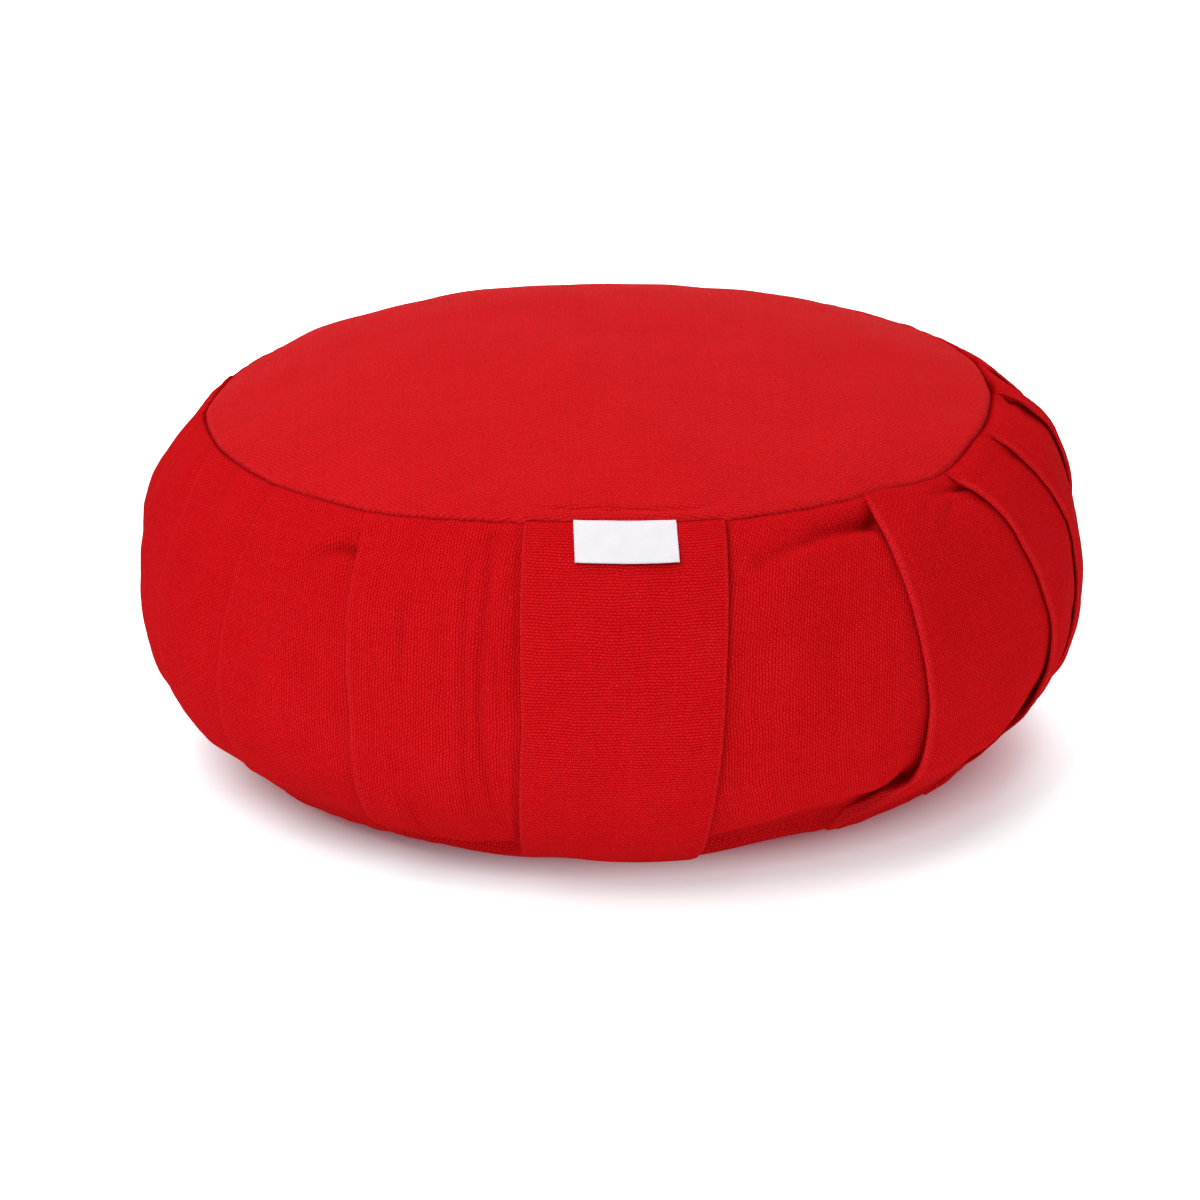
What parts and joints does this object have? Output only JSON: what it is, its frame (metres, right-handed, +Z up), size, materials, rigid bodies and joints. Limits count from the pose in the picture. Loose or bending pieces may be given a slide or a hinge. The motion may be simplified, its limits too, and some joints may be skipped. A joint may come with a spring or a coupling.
{
  "type": "round pleated meditation cushion",
  "caption": "Round plump floor cushion in red cotton canvas with a knife-pleated side band, domed round panels, a plain front strip and a small bare tag; sat on for meditation.",
  "frame": {"origin": "centre of the cushion's outline on the surface it rests on", "axes": "+Z up, through the flat lower face and the crown; the front strip and its tag face -Y"},
  "size_m": [0.3501, 0.3505, 0.162],
  "materials": {
    "red_canvas": "matt woven cotton canvas",
    "white_tape": "matt woven tape"
  },
  "bodies": {
    "root": {"side_band": "red_canvas", "top_panel": "red_canvas", "bottom_panel": "red_canvas", "front_strip": "red_canvas", "label": "white_tape"}
  },
  "joints": []
}
